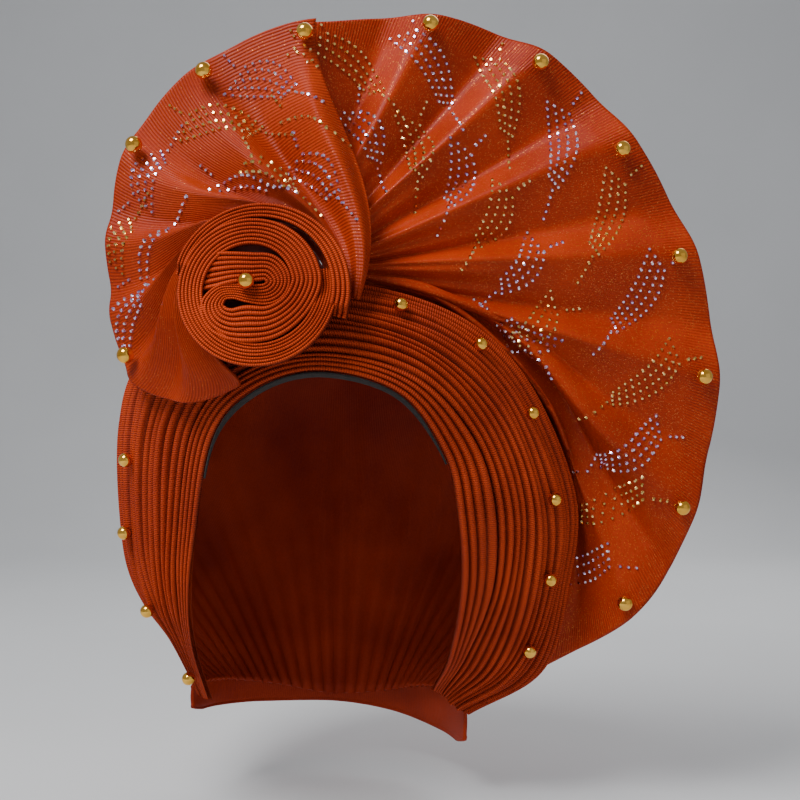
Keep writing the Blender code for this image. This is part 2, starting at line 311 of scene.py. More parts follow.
class Signal:
    """A shader output that takes part in arithmetic; every operation adds a Math node."""

    def __init__(self, graph: "Graph", socket: bpy.types.NodeSocket) -> None:
        """Keep the graph and the socket."""
        self.graph = graph
        self.socket = socket

    def math(self, operation: str, *others: Any, swapped: bool = False) -> "Signal":
        """Join this signal and others by a Math node's operation.

        Args:
            operation: The Math node's operation.
            others: The signals or numbers after this one.
            swapped: Whether to put this one last.

        Returns:
            The node's result.
        """
        parts = [self, *others]
        if swapped:
            parts.reverse()
        return self.graph.node("ShaderNodeMath", {"operation": operation}, dict(enumerate(parts)))

    def __add__(self, other: Any) -> "Signal":
        """This plus other."""
        return self.math("ADD", other)

    __radd__ = __add__

    def __sub__(self, other: Any) -> "Signal":
        """This minus other."""
        return self.math("SUBTRACT", other)

    def __rsub__(self, other: Any) -> "Signal":
        """Other minus this."""
        return self.math("SUBTRACT", other, swapped=True)

    def __mul__(self, other: Any) -> "Signal":
        """This times other."""
        return self.math("MULTIPLY", other)

    __rmul__ = __mul__

    def __pow__(self, other: Any) -> "Signal":
        """This to the power of other."""
        return self.math("POWER", other)

    def clamp(self, low: float, high: float) -> "Signal":
        """This spread from low and high to 0 and 1, and held there."""
        return self.graph.node("ShaderNodeMapRange", {"clamp": True}, {0: self, 1: low, 2: high})


class Graph:
    """A material's node tree, with its Principled shader."""

    def __init__(self, name: str) -> None:
        """Start a material with an output and a Principled shader.

        Args:
            name: The material's name.
        """
        self.material = bpy.data.materials.new(name)
        self.material.use_nodes = True
        self.tree = self.material.node_tree
        self.shader = self.tree.nodes["Principled BSDF"]

    def put(self, socket: bpy.types.NodeSocket, value: Any) -> None:
        """Link a signal to a socket, or set the socket's value.

        Args:
            socket: The input socket.
            value: A signal, a number or a colour.
        """
        if isinstance(value, Signal):
            self.tree.links.new(value.socket, socket)
        elif isinstance(value, tuple) and len(value) == 3 and socket.type == "RGBA":
            socket.default_value = (*value, 1.0)
        else:
            socket.default_value = value

    def node(self, kind: str, settings: dict[str, Any], inputs: dict[Any, Any], output: Any = 0) -> Signal:
        """Add a node.

        Args:
            kind: The node's type.
            settings: Its properties, set first.
            inputs: Values or signals for its sockets, by name or number.
            output: The output that is wanted, by name or number.

        Returns:
            That output.
        """
        made = self.tree.nodes.new(kind)
        for key, value in settings.items():
            setattr(made, key, value)
        for key, value in inputs.items():
            self.put(made.inputs[key], value)
        return Signal(self, made.outputs[output])

    def blend(self, factor: Any, a: Any, b: Any) -> Signal:
        """Mix two colours."""
        return self.node("ShaderNodeMix", {"data_type": "RGBA"}, {0: factor, 6: a, 7: b}, 2)

    def noise(self, place: Signal, scale: float, detail: float = 2.0) -> Signal:
        """Smooth noise from 0 to 1 at a place."""
        inputs = {"Vector": place, "Scale": scale, "Detail": detail}
        return self.node("ShaderNodeTexNoise", {}, inputs, "Fac")

    def places(self, output: str) -> Signal:
        """The piece's own coordinates: Object or UV."""
        return self.node("ShaderNodeTexCoord", {}, {}, output)

    def finish(self, **sockets: Any) -> bpy.types.Material:
        """Set the shader's sockets, named with _ for spaces, and give back the material.

        Args:
            sockets: A value or signal for each.

        Returns:
            The material.
        """
        for key, value in sockets.items():
            self.put(self.shader.inputs[key.replace("_", " ")], value)
        return self.material


@dataclass(frozen=True)
class ClothFinish:
    """Woven cloth with raised weft ribs that follow its own UV map."""

    name: str
    # light and deep bound the colour: noise moves it between them at random, and the ribs move it with
    # painted shade.
    light: Colour
    deep: Colour
    roughness: float
    rib_pitch: float
    rib_height: float
    rib_shade: float
    border: float = 0.0
    inner_ribs: float = 1.0
    glitter: float = 0.0
    # Strength of the painted shade, a near-black, laid in the grooves between cords.
    hollow_shade: float = 0.0

    def make(self) -> bpy.types.Material:
        """Build the material.

        The ribs are a sine of the distance along the cloth, one wave for each rib. Past the border
        they fade to the share inner_ribs, and they lighten the colour on their crests as painted shade
        between the ribs. Metal thread is scattered specks that are brighter and smoother than the
        cloth, and broad noise varies its colour at random. In corded cloth the sine of the cord count
        lays painted shade, a near-black, in the grooves between the cords.

        Returns:
            The material.
        """
        graph = Graph(self.name)
        place = graph.places("Object")
        uv = graph.places("UV")
        along = graph.node("ShaderNodeSeparateXYZ", {}, {0: uv}, "X")
        across = graph.node("ShaderNodeSeparateXYZ", {}, {0: uv}, "Y")
        waver = graph.noise(place, 160.0, 1.0) - 0.5
        wave = (along * (2 * math.pi / (self.rib_pitch * MM)) + waver * 1.6).math("SINE")
        ribs = (wave * 0.5 + 0.5) ** 0.8
        strength: Any = 1.0
        if self.border > 0:
            inside = across.clamp(self.border * 0.75 * MM, self.border * 1.1 * MM)
            strength = 1.0 - inside * (1.0 - self.inner_ribs)
        ribs = ribs * strength + (1.0 - strength if isinstance(strength, Signal) else 0.0) * 0.6
        broad = graph.noise(place, 22.0, 3.0)
        fine = graph.noise(place, 900.0, 2.0)
        # The ribs push the colour towards light on their crests and towards deep in between: painted shade in
        # the rib grooves. The noise terms vary the tone at random.
        tone = broad.clamp(0.32, 0.68) * 0.45 + fine.clamp(0.3, 0.7) * 0.2 + ribs * self.rib_shade
        base = graph.blend(tone.clamp(0.0, 0.65 + self.rib_shade), self.deep, self.light)
        if self.hollow_shade > 0:
            # Painted shade: a near-black blended over the grooves between the cords, strongest in each
            # groove.
            depth = (across * (math.pi / MM)).math("SINE").math("ABSOLUTE").clamp(0.0, 0.75)
            base = graph.blend((1.0 - depth) * self.hollow_shade, base, (0.035, 0.0012, 0.0002))
        rough = fine * 0.12 + (self.roughness - 0.06)
        metal: Any = 0.0
        if self.glitter > 0:
            spots = {"Vector": place, "Scale": 3200.0}
            cells = graph.node("ShaderNodeTexVoronoi", {"feature": "F1"}, spots, "Color")
            chance = graph.node("ShaderNodeSeparateXYZ", {}, {0: cells}, "X")
            specks = chance.clamp(1.0 - self.glitter, 1.02 - self.glitter)
            base = graph.blend(specks * 0.5, base, (0.95, 0.34, 0.08))
            rough = rough - specks * 0.15
            metal = specks * 0.5
        height = ribs + fine * 0.25
        raised = {"Height": height, "Distance": self.rib_height * MM, "Strength": 1.0}
        normal = graph.node("ShaderNodeBump", {}, raised, "Normal")
        return graph.finish(Base_Color=base, Roughness=rough, Metallic=metal, Normal=normal,
                            Specular_IOR_Level=0.14)


@dataclass(frozen=True)
class MetalFinish:
    """Plated metal or foiled glass, with faint handling marks."""

    name: str
    colour: Colour
    shade: Colour
    roughness: float
    coat: float = 0.0

    def make(self) -> bpy.types.Material:
        """Build the material: noise mixes the two colours and changes the roughness a little.

        Returns:
            The material.
        """
        graph = Graph(self.name)
        place = graph.places("Object")
        patches = graph.noise(place, 140.0, 2.0)
        base = graph.blend(patches.clamp(0.35, 0.65), self.shade, self.colour)
        marks = graph.noise(place, 1400.0, 2.0)
        rough = marks * 0.08 + self.roughness
        return graph.finish(Base_Color=base, Roughness=rough, Metallic=1.0, Coat_Weight=self.coat)


@dataclass(frozen=True)
class PlainFinish:
    """A matte surface with a slight change of tone."""

    name: str
    light: Colour
    deep: Colour
    roughness: float
    scale: float

    def make(self) -> bpy.types.Material:
        """Build the material: noise mixes the two tones and gives a very fine bump.

        Returns:
            The material.
        """
        graph = Graph(self.name)
        place = graph.places("Object")
        tone = graph.noise(place, self.scale, 3.0)
        base = graph.blend(tone.clamp(0.3, 0.7), self.deep, self.light)
        grain = {"Height": tone, "Distance": 0.0001, "Strength": 0.5}
        normal = graph.node("ShaderNodeBump", {}, grain, "Normal")
        return graph.finish(Base_Color=base, Roughness=self.roughness, Normal=normal)


class Finish(Enum):
    """The finishes of this head tie."""

    # The corded finishes paint shade into the grooves between their cords.
    RIBBED = ClothFinish("ribbed cloth", (0.66, 0.068, 0.012), (0.22, 0.011, 0.002), 0.60, 1.25, 0.34, 0.45,
                         hollow_shade=0.75)
    ROSETTE = ClothFinish("rosette cloth", (0.74, 0.082, 0.016), (0.24, 0.013, 0.002), 0.60, 1.05, 0.30, 0.45,
                          hollow_shade=0.7)
    FAN = ClothFinish("fan satin", (0.52, 0.044, 0.007), (0.20, 0.008, 0.001), 0.42, 1.6, 0.20, 0.34,
                      border=17.0, inner_ribs=0.12, glitter=0.05)
    SWIRL = ClothFinish("left fan satin", (0.50, 0.048, 0.008), (0.20, 0.009, 0.001), 0.44, 1.7, 0.20, 0.34,
                        border=150.0, inner_ribs=0.5, glitter=0.02)
    PLAIN = ClothFinish("plain satin", (0.44, 0.038, 0.006), (0.20, 0.009, 0.001), 0.50, 1.4, 0.10, 0.16)
    # A near-black red for the cloth behind the rosette: painted shade where the loops' gaps show it.
    SHADE = PlainFinish("inner cloth painted shade", (0.10, 0.006, 0.001), (0.05, 0.002, 0.0005), 0.8, 300.0)
    LINING = PlainFinish("lining net", (0.035, 0.03, 0.028), (0.012, 0.010, 0.009), 0.9, 900.0)
    GOLD = MetalFinish("gold plate", (1.0, 0.58, 0.10), (0.88, 0.43, 0.05), 0.07)
    GOLD_STONE = MetalFinish("gold stone", (1.0, 0.76, 0.32), (0.72, 0.44, 0.10), 0.10, 0.5)
    SILVER_STONE = MetalFinish("silver stone", (0.96, 0.92, 1.0), (0.62, 0.50, 0.86), 0.10, 0.5)
    FLOOR = PlainFinish("studio floor", (0.70, 0.71, 0.72), (0.66, 0.67, 0.68), 0.8, 3.0)

    def material(self) -> bpy.types.Material:
        """The finish's material, made once."""
        found = bpy.data.materials.get(self.value.name)
        return found or self.value.make()


class Slot(Enum):
    """The record's material slots."""

    RIBBED = "ribbed_cloth"
    SATIN = "satin_cloth"
    LINING = "lining_cloth"
    GOLD = "gold_bead"


def place_piece(piece: bpy.types.Object, slot: Slot, *nodes: str) -> None:
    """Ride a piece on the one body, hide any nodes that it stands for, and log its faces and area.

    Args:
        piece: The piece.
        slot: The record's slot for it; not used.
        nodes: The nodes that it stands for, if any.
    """
    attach(piece, "root")
    if nodes:
        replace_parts(piece, *nodes)
    faces = piece.data.polygons
    areas = np.empty(len(faces))
    faces.foreach_get("area", areas)
    LOG.info("%s: %d faces, %.4f square metres, for %s", piece.name, len(faces), areas.sum(),
             ", ".join(nodes) or "no node")


# ---------------------------------------------------------------------------------------------
# Surfaces
# ---------------------------------------------------------------------------------------------

class Surface:
    """A sheet of cloth whose places are a function of u and v, each from 0 to 1.

    Its wall is its thickness in millimetres. Its flat size, in metres, is an estimate of the cloth in
    it, set to agree with the modelled surface.
    """

    wall: float
    flat: tuple[float, float]

    def base(self, u: Array, v: Array) -> Array:
        """The sheet without its folds."""
        raise NotImplementedError

    def place(self, u: Array, v: Array) -> Array:
        """The finished sheet."""
        return self.base(u, v)

    def normal(self, u: Array, v: Array, shape: Callable[[Array, Array], Array] | None = None) -> Array:
        """Unit normals: the cross product of small steps along u and v.

        Args:
            u: Places along it, from 0 to 1.
            v: Places across it, from 0 to 1.
            shape: The surface to use, or the plain one if left out.

        Returns:
            One vector for each place.
        """
        shape = shape or self.base
        h = 1e-3
        along = shape(np.minimum(u + h, 1), v) - shape(np.maximum(u - h, 0), v)
        across = shape(u, np.minimum(v + h, 1)) - shape(u, np.maximum(v - h, 0))
        return unit(np.cross(along, across))

    def grid(self, columns: int, rows: int) -> tuple[Array, Array]:
        """Evenly spaced u and v, as two arrays of columns by rows."""
        return np.meshgrid(np.linspace(0, 1, columns), np.linspace(0, 1, rows), indexing="ij")

    def lay(self, name: str, places: Array, uv: Array, finish: "Finish", slot: "Slot", node: str,
            **cut: Any) -> None:
        """Args:
            name: The piece's name.
            places: The sheet's grid of places in millimetres.
            uv: Corner UVs in metres, in the order of grid_faces.
            finish: The cloth's finish.
            slot: The record's slot for it.
            node: The node that it stands for.
            cut: How the sheet is held, what it rests on and its flat area; not used.
        """
        mesh = fill_mesh(name, places.reshape(-1, 3), grid_faces(*places.shape[:2]), uv)
        piece = add_piece(mesh, finish.material())
        add_wall(piece, self.wall)
        place_piece(piece, slot, node)


@dataclass(frozen=True)
class BandStations:
    """Places round the face: the face edge, the seam and the outer edge, from ear to ear."""

    places: tuple = (
        ((-73, 22, -238), (-76, 24, -238), (-82, 27, -234)),
        ((-76, -10, -202), (-80, -8, -200), (-92, 8, -200)),
        ((-74, -32, -171), (-80, -28, -172), (-106, 3, -176)),
        ((-68, -48, -137), (-77, -42, -138), (-115, -3, -143)),
        ((-55, -70, -84), (-65, -64, -80), (-115, -14, -79)),
        ((-33, -82, -60), (-40, -81, -53), (-96, -28, -40)),
        ((0, -89, -51), (0, -89, -43), (-33, -58, -7)),
        ((38, -82, -62), (45, -84, -54), (45, -57, -13)),
        ((60, -66, -92), (74, -64, -84), (98, -37, -45)),
        ((67, -55, -121), (86, -50, -119), (133, -10, -114)),
        ((70, -40, -160), (87, -32, -163), (132, 0, -168)),
        ((65, -15, -204), (74, -8, -205), (120, 6, -216)),
        ((57, 8, -229), (61, 12, -232), (78, 18, -246)),
    )

    def lines(self, u: Array) -> tuple[Array, Array, Array]:
        """The face edge, the seam and the outer edge at u.

        Args:
            u: Places from ear to ear, from 0 to 1.

        Returns:
            Three sets of places in millimetres.
        """
        rows = np.asarray(self.places, dtype=float)
        face, seam, outer = (spline(rows[:, k], u) + HEAD_SEAT for k in range(3))
        return face, seam, outer


STATIONS = BandStations()


@dataclass
class CordedCloth(Surface):
    """Cloth in cords side by side, each with its own run of cross ribs."""

    cords: int

    def cord_uv(self, u: Array, v: Array, more: int = 0) -> Array:
        """Corner UVs: the length along each cord's own middle line, and the number of cords passed.

        Args:
            u: Places along the cords, on the grid.
            v: Places across the cords, on the grid.
            more: How many further faces close the back; they take the last cord's lengths.

        Returns:
            UVs in metres for the corners of the grid's faces.
        """
        middles = (np.arange(self.cords) + 0.5) / self.cords
        lines = self.base(*np.meshgrid(u[:, 0], middles, indexing="ij"))
        along = lengths_along(lines, 0)
        across = np.concatenate([v[0], np.ones(more)])
        column = np.clip(((across[:-1] + across[1:]) * 0.5 * self.cords).astype(int), 0, self.cords - 1)
        start, end = along[:-1][:, column], along[1:][:, column]
        low = np.broadcast_to(across[:-1], start.shape) * self.cords
        high = np.broadcast_to(across[1:], start.shape) * self.cords
        corners = [np.stack(pair, axis=-1) for pair in ((start, low), (end, low), (end, high), (start, high))]
        return np.stack(corners, axis=2).reshape(-1, 2) * MM


@dataclass
class BrowBand(CordedCloth):
    """The rolled edge round the face: cords laid side by side, flattened beside the right cheek."""

    cords: int = 4
    wall: float = 3.0
    seam_cover: float = 0.02
    height_share: float = 0.70
    height_limit: float = 2.8
    fullness: float = 0.65
    sink: float = 0.5
    wander: float = 0.05
    cheek: tuple[float, float] = (0.80, 0.80)
    cheek_size: tuple[float, float] = (0.035, 0.22)
    cheek_press: float = 0.75
    flat: tuple[float, float] = (0.026, 0.50)

    def base(self, u: Array, v: Array) -> Array:
        """Straight across from the face edge to just past the seam."""
        face, seam, outer = STATIONS.lines(u)
        return mix(face, mix(seam, outer, self.seam_cover), v[..., None])

    def place(self, u: Array, v: Array) -> Array:
        """Cords raised by a share of their own width, lowest where the cheek presses them flat.

        Args:
            u: Places along it, from 0 to 1.
            v: Places across it, from 0 to 1.

        Returns:
            Places in millimetres, with one more axis than u.
        """
        face, seam, _ = STATIONS.lines(u)
        width = np.linalg.norm(seam - face, axis=-1) / self.cords
        at_cheek = bump(u, self.cheek[0], self.cheek_size[0]) * bump(v, self.cheek[1], self.cheek_size[1])
        drift = self.wander * np.sin(9 * u + 4) * np.sin(math.pi * v)
        height = np.minimum(width * self.height_share, self.height_limit) * (1 - self.cheek_press * at_cheek)
        rise = cord_profile(self.cords * v, self.fullness) * height
        across = self.base(np.minimum(u + 1e-3, 1), v) - self.base(np.maximum(u - 1e-3, 0), v)
        out = unit(np.cross(seam - face, across))
        return self.base(u, v + drift) - out * (rise - self.sink)[..., None]

    def build(self) -> None:
        """Make and place the piece."""
        u, v = self.grid(620, 41)
        self.lay("brow_roll", self.place(u, v), self.cord_uv(u, v), Finish.RIBBED, Slot.RIBBED, "brow_band",
                 held="folded", rests_on=["pleated_band"])


@dataclass
class PleatedBand(CordedCloth):
    """The band of fine pleats that runs round the face outside the brow roll."""

    cords: int = 13
    wall: float = 2.0
    seam_gap: float = 0.03
    swell: float = 0.10
    height_share: float = 0.95
    height_limit: float = 3.2
    fullness: float = 0.8
    sink: float = 1.4
    stand_out: float = 0.9
    wander: tuple[float, float] = (0.020, 0.014)
    flat: tuple[float, float] = (0.080, 0.62)

    def base(self, u: Array, v: Array) -> Array:
        """Across from the seam to the outer edge, swollen out by a sine of v.

        Args:
            u: Places along it, from 0 to 1.
            v: Places across it, from 0 to 1.

        Returns:
            Places in millimetres, with one more axis than u.
        """
        _, seam, outer = STATIONS.lines(u)
        start = mix(seam, outer, self.seam_gap)
        before = STATIONS.lines(np.maximum(u - 1e-3, 0))[1]
        after = STATIONS.lines(np.minimum(u + 1e-3, 1))[1]
        out = unit(np.cross(after - before, outer - start))
        swell = np.sin(math.pi * v) * self.swell * np.linalg.norm(outer - start, axis=-1)
        return mix(start, outer, v[..., None]) + out * swell[..., None]

    def place(self, u: Array, v: Array) -> Array:
        """Round pleats that wander from side to side and vary in height; some stand in front of others.

        Args:
            u: Places along it, from 0 to 1.
            v: Places across it, from 0 to 1.

        Returns:
            Places in millimetres, with one more axis than u.
        """
        _, seam, outer = STATIONS.lines(u)
        pitch = np.linalg.norm(outer - seam, axis=-1) / self.cords
        slow, quick = self.wander
        wander = slow * np.sin(13 * u + 5 * v) + quick * np.sin(31 * u + 2 + 9 * v)
        spot = v + wander * np.sin(math.pi * v)
        number = np.floor(self.cords * v - 1e-6)
        vary = 0.8 + 0.3 * np.sin(number * 2.3 + 11 * u) ** 2
        height = np.minimum(pitch * self.height_share, self.height_limit) * vary
        rise = cord_profile(self.cords * v, self.fullness) * height
        stand = self.stand_out * np.sin(number * 1.9 + 7 * u) * np.sin(math.pi * v)
        return self.base(u, spot) + self.normal(u, spot) * (rise + stand - self.sink)[..., None]

    def build(self) -> None:
        """Make and place the piece."""
        u, v = self.grid(420, self.cords * 8 + 1)
        self.lay("band_pleats", self.place(u, v), self.cord_uv(u, v), Finish.RIBBED, Slot.RIBBED,
                 "pleated_band", held="gathered", rests_on=["crown_cap"])


@dataclass
class LiningEdge(Surface):
    """The dark lining that shows as a thin line under the brow roll."""

    start: float = 0.30
    end: float = 0.68
    width: float = 3.5
    gap: float = 0.5
    wall: float = 0.8
    flat: tuple[float, float] = (0.010, 0.17)

    def base(self, u: Array, v: Array) -> Array:
        """From just inside the face edge, slanting back under the roll; narrow at both ends.

        Args:
            u: Places along it, from 0 to 1.
            v: Places across it, from 0 to 1.

        Returns:
            Places in millimetres, with one more axis than u.
        """
        face, seam, _ = STATIONS.lines(mix(self.start, self.end, u))
        inward = unit(face - seam)
        width = self.width * smoothstep(np.minimum(u, 1 - u) / 0.25) + 0.8
        away = unit(inward * 0.5 + np.array([0.0, 1.0, 0.0]))
        return face + inward * self.gap + away * (v * width)[..., None]

    def build(self) -> None:
        """Make and place the piece."""
        u, v = self.grid(90, 4)
        places = self.base(u, v)
        uv = corner_uv(lengths_along(places, 0), lengths_along(places, 1))
        self.lay("lining", places, uv, Finish.LINING, Slot.LINING, "lining_edge",
                 held="stretched", rests_on=["brow_band"], area=0.0007)


@dataclass
class Crown(Surface):
    """Cloth drawn from the band over the head and gathered into the nape."""

    inset: float = 0.78
    set_back: float = 4.0
    shoulder: Ends = ((-90, 40, -230), (-112, 72, -180), (-115, 122, -62), (-15, 158, 61), (108, 128, -32),
                      (122, 76, -172), (78, 29, -236))
    nape: Ends = ((-80, 36, -232), (-67, 56, -232), (-42, 76, -232), (-5, 86, -232), (34, 77, -234),
                  (56, 55, -235), (68, 33, -236))
    folds: int = 34
    overrun: float = 1.03
    nape_rise: float = 0.9
    band_rise: float = 0.5
    drag_rise: float = 0.8
    sink: float = 0.6
    wall: float = 1.6
    flat: tuple[float, float] = (0.46, 0.34)

    def base(self, u: Array, v: Array) -> Array:
        """Arcs with one pull point each: each leaves the band, heads for it and lands at the nape.

        Args:
            u: Places from ear to ear, from 0 to 1.
            v: Places from the band to the nape, from 0 to 1.

        Returns:
            Places in millimetres, with one more axis than u.
        """
        _, seam, outer = STATIONS.lines(u)
        rim = mix(seam, outer, self.inset) + np.array([0, self.set_back, 0])
        shoulder = spline(self.shoulder, u) + HEAD_SEAT
        nape = spline(self.nape, u) + HEAD_SEAT
        t = v[..., None]
        return (1 - t) ** 2 * rim + 2 * t * (1 - t) * shoulder + t ** 2 * nape

    def place(self, u: Array, v: Array) -> Array:
        """Soft gathers that start at the nape and behind the band and die out over the crown.

        Args:
            u: Places from ear to ear, from 0 to 1.
            v: Places from the band to the nape, from 0 to 1.

        Returns:
            Places in millimetres, with one more axis than u.
        """
        near_nape = smoothstep((v - 0.45) / 0.5)
        near_band = smoothstep((0.35 - v) / 0.3)
        gathers = np.sin(2 * math.pi * (self.folds * u + 0.5 * np.sin(7 * u) + 0.3 * v))
        drag = np.sin(2 * math.pi * (9 * u + 1.2 * v + 0.2 * np.sin(11 * u)))
        fade = smoothstep(np.minimum(u, 1 - u) / 0.06)
        pulled = gathers * (self.nape_rise * near_nape + self.band_rise * near_band)
        rise = (pulled + self.drag_rise * drag * np.sin(math.pi * v)) * fade
        return self.base(u, v * self.overrun) + self.normal(u, v) * (rise - self.sink)[..., None]

    def build(self) -> None:
        """Make and place the piece."""
        u, v = self.grid(301, 90)
        places = self.place(u, v)
        uv = corner_uv(lengths_along(self.base(u, np.full_like(v, 0.5)), 0), lengths_along(places, 1))
        self.lay("crown", places, uv, Finish.PLAIN, Slot.SATIN, "crown_cap",
                 held="stretched", rests_on=["pleated_band"], area=0.11)


@dataclass
class NapeStrap(Surface):
    """The plain strap that joins the band's two ends round the nape.

    Its heights are at the start, the back and the end.
    """

    middle: Ends = ((77, 23, -251), (64, 57, -251), (35, 83, -247), (-6, 92, -243), (-46, 82, -242),
                    (-73, 60, -241), (-85, 32, -239))
    heights: tuple[float, float, float] = (29, 28, 18)
    end_share: float = 0.75
    hem_rise: float = 0.35
    pucker_rise: float = 0.5
    wall: float = 2.0
    flat: tuple[float, float] = (0.028, 0.25)

    def base(self, u: Array, v: Array) -> Array:
        """Upright across its middle line, its height eased from the middle and drawn in at both ends.

        Args:
            u: Places along it, from 0 to 1.
            v: Places across it, from 0 to 1.

        Returns:
            Places in millimetres, with one more axis than u.
        """
        start, back, end = self.heights
        to_back, to_end = mix(start, back, smoothstep(2 * u)), mix(back, end, smoothstep(2 * u - 1))
        height = np.where(u < 0.5, to_back, to_end)
        height = height * mix(self.end_share, 1.0, np.sqrt(smoothstep(np.minimum(u, 1 - u) / 0.06)))
        rise = np.zeros(u.shape + (3,))
        rise[..., 2] = (v - 0.5) * height
        return spline(self.middle, u) + HEAD_SEAT + rise

    def place(self, u: Array, v: Array) -> Array:
        """Raised hems along both edges and two soft puckers.

        Args:
            u: Places along it, from 0 to 1.
            v: Places across it, from 0 to 1.

        Returns:
            Places in millimetres, with one more axis than u.
        """
        hem = np.maximum(bump(v, 0.08, 0.04), bump(v, 0.92, 0.04)) * self.hem_rise
        pucker = self.pucker_rise * (np.sin(19 * u + 3 * v) * np.sin(math.pi * v) - 1)
        return self.base(u, v) + self.normal(u, v) * (hem + pucker)[..., None]

    def build(self) -> None:
        """Make and place the piece."""
        u, v = self.grid(160, 40)
        places = self.place(u, v)
        uv = corner_uv(lengths_along(places, 0), lengths_along(places, 1))
        self.lay("strap", places, uv, Finish.PLAIN, Slot.SATIN, "nape_strap",
                 held="stretched", rests_on=["pleated_band"], area=0.006)


@dataclass
class PleatedFan(Surface):
    """Cloth folded like a fan: folds along v, as deep as the room between them allows."""

    pleats: int
    share: float
    limit: float

    def fold_depth(self, u: Array, v: Array) -> Array:
        """How deep a fold may be: a share of the distance between folds, at most the limit.

        Args:
            u: Places round the fan, from 0 to 1.
            v: Places from the gather to the rim, from 0 to 1.

        Returns:
            Depths in millimetres.
        """
        step = 0.5 / self.pleats
        ahead = self.base(np.minimum(u + step, 1), v)
        behind = self.base(np.maximum(u - step, 0), v)
        return np.minimum(np.linalg.norm(ahead - behind, axis=-1) * self.share, self.limit)


@dataclass
class MainFan(PleatedFan):
    """The large fan: it opens from the gather beside the rosette and hangs round the band."""

    pleats: int = 8
    share: float = 0.24
    limit: float = 8.0
    lean: float = 0.34
    gather: Ends = ((-16, -56, 12), (12, -54, 0))
    rim: Ends = ((-9, -49, 128), (54, -44, 134), (112, -42, 116), (157, -42, 74), (191, -40, 15),
                 (205, -36, -52))
    draped: tuple = (
        ((14, -53, -1), (56, -48, -8), (104, -36, -34), (149, -31, -82), (196, -28, -121)),
        ((16, -52, -3), (62, -43, -14), (115, -21, -60), (142, -5, -116), (169, -13, -180)),
    )
    hem: tuple[float, float] = (0.53, 0.93)
    hem_overlap: float = 0.97
    hem_set_back: float = 9.0
    hollow: float = 6.0
    rim_share: float = 0.75
    crease_share: float = 0.3
    ripple_rise: float = 0.5
    stack_from: float = 0.85
    stack_pitch: float = 0.05
    stack_rise: float = 1.9
    wall: float = 1.4
    flat: tuple[float, float] = (0.20, 0.48)

    def rays(self) -> Array:
        """The fan's rays, five points each: straight, then draped, then along the band's edge.

        Returns:
            Places in millimetres: rays, points along each, and three.
        """
        steps = np.linspace(0, 1, 5)
        sag = np.outer(np.sin(math.pi * steps), [0, self.hollow, 0])
        gather = spline(self.gather, np.linspace(0, 1, len(self.rim)))
        straight = [mix(a, np.array(b, float), steps[:, None]) + sag for a, b in zip(gather, self.rim)]
        _, seam, outer = STATIONS.lines(mix(*self.hem, steps))
        hem = mix(seam, outer, self.hem_overlap) + np.array([0, self.hem_set_back, 0]) - HEAD_SEAT
        return np.array(straight + [np.array(ray, float) for ray in self.draped] + [hem]) + HEAD_SEAT

    def base(self, u: Array, v: Array) -> Array:
        """Splines across the rays at five distances, then a spline through those.

        Args:
            u: Places round the fan, from 0 to 1.
            v: Places from the gather to the rim, from 0 to 1.

        Returns:
            Places in millimetres, with one more axis than u.
        """
        rays = self.rays()
        rows = np.stack([spline(rays[:, k], u) for k in range(5)], axis=-2)
        return spline(rows, v)

    def place(self, u: Array, v: Array) -> Array:
        """Leaning folds, sharp inside and rounder at the rim, creased at the gather and beside the band.

        Args:
            u: Places round the fan, from 0 to 1.
            v: Places from the gather to the rim, from 0 to 1.

        Returns:
            Places in millimetres, with one more axis than u.
        """
        depth = self.fold_depth(u, v)
        main = soft_zigzag(self.pleats * u + self.lean, self.lean, mix(0.02, 0.09, v))
        small = np.sin(2 * math.pi * (3 * self.pleats * u + 0.4 * np.sin(9 * u))) * (1 - smoothstep(v / 0.55))
        ripple = self.ripple_rise * np.sin(2 * math.pi * (11 * u + 0.6 * v)) * v
        stacked = np.sin(2 * math.pi * (u - self.stack_from) / self.stack_pitch)
        stacked = stacked * smoothstep((u - self.stack_from) / 0.04) * bump(v, 0.45, 0.3)
        rise = main * depth * mix(1.0, self.rim_share, v) + small * depth * self.crease_share + ripple
        return self.base(u, v) + self.normal(u, v) * (rise + self.stack_rise * stacked)[..., None]

    def build(self) -> None:
        """Make and place the piece."""
        u, v = self.grid(361, 121)
        places = self.place(u, v)
        rim = lengths_along(self.base(u[:, -1:], v[:, -1:]), 0) * np.ones_like(u)
        out = lengths_along(places, 1)
        uv = corner_uv(rim, out[:, -1:] - out)
        self.lay("fan_right", places, uv, Finish.FAN, Slot.SATIN, "fan_main",
                 held="gathered", rests_on=["gather_knot", "pleated_band"], area=0.050)


